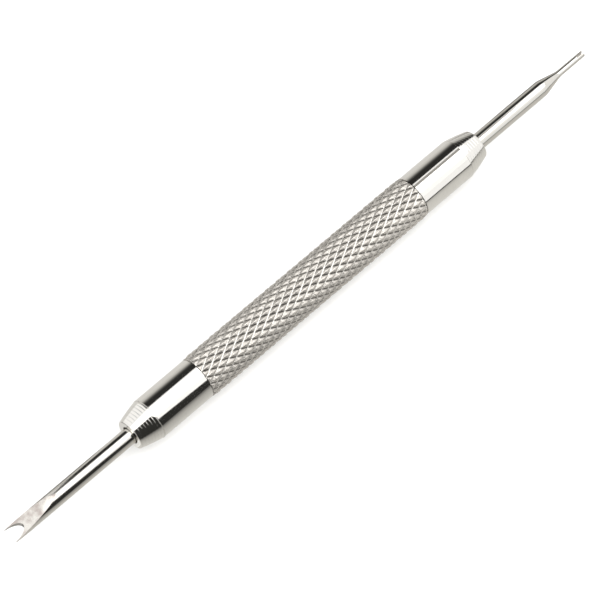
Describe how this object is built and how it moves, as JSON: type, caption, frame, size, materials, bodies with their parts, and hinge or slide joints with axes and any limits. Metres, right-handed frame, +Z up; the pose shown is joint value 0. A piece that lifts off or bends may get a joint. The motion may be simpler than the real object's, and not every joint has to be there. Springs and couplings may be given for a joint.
{
  "type": "spring bar tool",
  "caption": "Double-ended watch spring bar tool: a diamond-knurled handle whose screwed caps close split collets on a wide ground fork tip and a fine slotted tip.",
  "frame": {"origin": "centre of the handle's length, on the surface that the knurled grip lies on", "axes": "+X along the tool towards the fine tip, the wide fork at -X; +Z up, square to the fork's ground flats"},
  "size_m": [0.135, 0.008, 0.0081],
  "materials": {
    "knurled_plate": "nickel plate over a rolled diamond knurl, bright with grey-brown tone in the grooves",
    "cap_plate": "bright nickel plate over turned metal, mirror-like, with fine turning lines",
    "tip_steel": "polished hardened steel, ground satin on the fork's flats",
    "turned_steel": "bare turned steel with cut threads",
    "collet_brass": "bare turned brass with sawn slots"
  },
  "bodies": {
    "handle": {"knurled_sleeve": "knurled_plate", "threaded_core": "turned_steel"},
    "fork_chuck": {"fork_collet": "collet_brass"},
    "fork_cap": {"fork_cap": "cap_plate"},
    "fork_tip": {"fork_tip": "tip_steel"},
    "fine_chuck": {"fine_collet": "collet_brass"},
    "fine_cap": {"fine_cap": "cap_plate"},
    "fine_tip": {"fine_tip": "tip_steel"}
  },
  "joints": [
    {"name": "fork_chuck_advance", "type": "slide", "parent": "handle", "child": "fork_chuck", "axis": [-1, 0, 0], "range_m": [0, 0.006]},
    {"name": "fork_cap_turn", "type": "hinge", "parent": "fork_chuck", "child": "fork_cap", "pos_m": [-0.033, 0, 0.00403], "axis": [-1, 0, 0], "range_deg": [0, 2880]},
    {"name": "fork_tip_draw", "type": "slide", "parent": "fork_chuck", "child": "fork_tip", "axis": [-1, 0, 0], "range_m": [0, 0.0164]},
    {"name": "fine_chuck_advance", "type": "slide", "parent": "handle", "child": "fine_chuck", "axis": [1, 0, 0], "range_m": [0, 0.006]},
    {"name": "fine_cap_turn", "type": "hinge", "parent": "fine_chuck", "child": "fine_cap", "pos_m": [0.033, 0, 0.00403], "axis": [1, 0, 0], "range_deg": [0, 2880]},
    {"name": "fine_tip_draw", "type": "slide", "parent": "fine_chuck", "child": "fine_tip", "axis": [1, 0, 0], "range_m": [0, 0.0164]}
  ],
  "couplings": [
    {"joint": "fork_cap_turn", "follows": "fork_chuck_advance", "rad_per_m": 8377.6},
    {"joint": "fine_cap_turn", "follows": "fine_chuck_advance", "rad_per_m": 8377.6}
  ]
}
